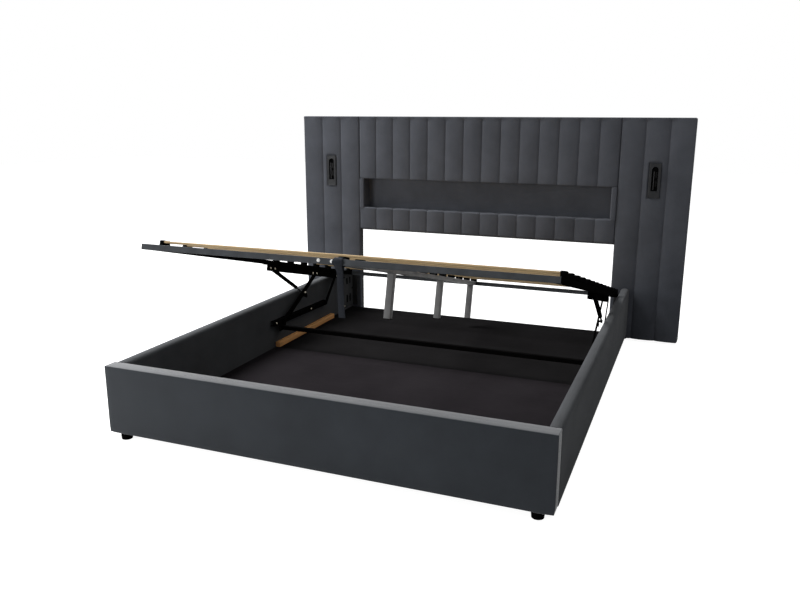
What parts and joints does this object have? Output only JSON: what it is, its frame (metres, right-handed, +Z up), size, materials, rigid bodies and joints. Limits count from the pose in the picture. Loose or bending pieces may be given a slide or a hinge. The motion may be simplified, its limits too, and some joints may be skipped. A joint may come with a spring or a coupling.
{
  "type": "lift-up storage bed",
  "caption": "Upholstered lift-up storage bed: slatted steel platform on gas struts over a boxed base, with a wide channelled headboard, storage niche and power modules.",
  "frame": {"origin": "middle of the footprint, on the floor", "axes": "+X across the bed, to the right for someone who stands at the foot and looks at the headboard; +Y from the footboard to the headboard; +Z up"},
  "size_m": [2.26, 2.195, 1.207],
  "materials": {
    "base_fabric": "matt woven upholstery",
    "headboard_fabric": "matt woven upholstery, channelled",
    "webbing": "woven webbing",
    "frame_wood": "plain board",
    "floor_board": "dark faced board",
    "slat_wood": "bare laminated wood",
    "batten_wood": "bare wood",
    "grey_steel": "satin grey powder coat",
    "black_steel": "satin black powder coat",
    "bright_steel": "polished rod",
    "black_plastic": "matt",
    "gloss_plastic": "glossy"
  },
  "bodies": {
    "base": {"footboard_board": "frame_wood", "footboard_cover": "base_fabric", "rail_board_left": "frame_wood", "rail_board_right": "frame_wood", "rail_cover_left": "base_fabric", "rail_cover_right": "base_fabric", "bed_foot_left": "black_plastic", "bed_foot_right": "black_plastic", "rail_hook_plate_left": "black_steel", "rail_hook_plate_right": "black_steel", "floor_panel_front": "floor_board", "floor_panel_rear": "floor_board", "floor_beam": "frame_wood", "rail_batten_left": "batten_wood", "rail_batten_right": "batten_wood", "wing_pad_left": "headboard_fabric", "wing_pad_right": "headboard_fabric", "wing_board_left": "frame_wood", "wing_board_right": "frame_wood", "centre_board_upper": "frame_wood", "centre_board_lower": "frame_wood", "centre_pad_upper": "headboard_fabric", "centre_pad_lower": "headboard_fabric", "niche_box": "headboard_fabric", "power_bezel_left": "gloss_plastic", "power_bezel_right": "gloss_plastic", "power_box_left": "black_plastic", "power_box_right": "black_plastic", "cross_tie_bar": "black_steel", "base_bar_left": "black_steel", "base_bar_right": "black_steel"},
    "left_front_arm": {"front_arm_left": "black_steel"},
    "right_front_arm": {"front_arm_right": "black_steel"},
    "left_rear_arm": {"rear_arm_left": "black_steel"},
    "right_rear_arm": {"rear_arm_right": "black_steel"},
    "platform": {"front_tube": "grey_steel", "head_tube": "grey_steel", "side_tube_left": "black_steel", "side_tube_right": "black_steel", "centre_beam": "grey_steel", "slat_01": "slat_wood", "slat_02": "slat_wood", "slat_03": "slat_wood", "slat_04": "slat_wood", "slat_05": "slat_wood", "slat_06": "slat_wood", "slat_07": "slat_wood", "slat_08": "slat_wood", "slat_09": "slat_wood", "slat_10": "slat_wood", "slat_11": "slat_wood", "slat_12": "slat_wood", "slat_13": "slat_wood", "upper_bracket_left": "black_steel", "upper_bracket_right": "black_steel", "pull_strap": "webbing"},
    "left_strut_cylinder": {"strut_cylinder_left": "black_steel"},
    "right_strut_cylinder": {"strut_cylinder_right": "black_steel"},
    "left_strut_rod": {"strut_rod_left": "bright_steel"},
    "right_strut_rod": {"strut_rod_right": "bright_steel"}
  },
  "joints": [
    {"name": "lift", "type": "hinge", "parent": "base", "child": "left_front_arm", "pos_m": [-0.784, 0.1165, 0.176], "axis": [1, 0, 0], "range_deg": [-20.55, 0], "stiffness_Nm_per_rad": 110, "springref_deg": 156.42},
    {"name": "right_front_arm_hinge", "type": "hinge", "parent": "base", "child": "right_front_arm", "pos_m": [0.784, 0.1165, 0.176], "axis": [1, 0, 0], "range_deg": [-20.6, 0]},
    {"name": "platform_hinge", "type": "hinge", "parent": "left_front_arm", "child": "platform", "pos_m": [-0.784, 0.46884, 0.35596], "axis": [1, 0, 0], "range_deg": [0, 34.6]},
    {"name": "left_rear_arm_hinge", "type": "hinge", "parent": "base", "child": "left_rear_arm", "pos_m": [-0.784, 0.5865, 0.162], "axis": [1, 0, 0], "range_deg": [-28.2, 0]},
    {"name": "right_rear_arm_hinge", "type": "hinge", "parent": "base", "child": "right_rear_arm", "pos_m": [0.784, 0.5865, 0.162], "axis": [1, 0, 0], "range_deg": [-28.2, 0]},
    {"name": "left_strut_hinge", "type": "hinge", "parent": "platform", "child": "left_strut_cylinder", "pos_m": [-0.799, 0.02833, 0.46579], "axis": [1, 0, 0], "range_deg": [0, 11.7]},
    {"name": "right_strut_hinge", "type": "hinge", "parent": "platform", "child": "right_strut_cylinder", "pos_m": [0.799, 0.02833, 0.46579], "axis": [1, 0, 0], "range_deg": [0, 11.7]},
    {"name": "left_strut_slide", "type": "slide", "parent": "left_strut_cylinder", "child": "left_strut_rod", "axis": [0, 0.8536, -0.5209], "range_m": [-0.059, 0]},
    {"name": "right_strut_slide", "type": "slide", "parent": "right_strut_cylinder", "child": "right_strut_rod", "axis": [0, 0.8536, -0.5209], "range_m": [-0.059, 0]}
  ],
  "couplings": [
    {"joint": "right_front_arm_hinge", "follows": "lift", "ratio": 1},
    {"joint": "platform_hinge", "follows": "lift", "ratio": -1.6812},
    {"joint": "left_rear_arm_hinge", "follows": "lift", "ratio": 1.3688},
    {"joint": "right_rear_arm_hinge", "follows": "lift", "ratio": 1.3688},
    {"joint": "left_strut_hinge", "follows": "lift", "ratio": -0.56489},
    {"joint": "right_strut_hinge", "follows": "lift", "ratio": -0.56489},
    {"joint": "left_strut_slide", "follows": "lift", "m_per_rad": 0.16412},
    {"joint": "right_strut_slide", "follows": "lift", "m_per_rad": 0.16412}
  ]
}
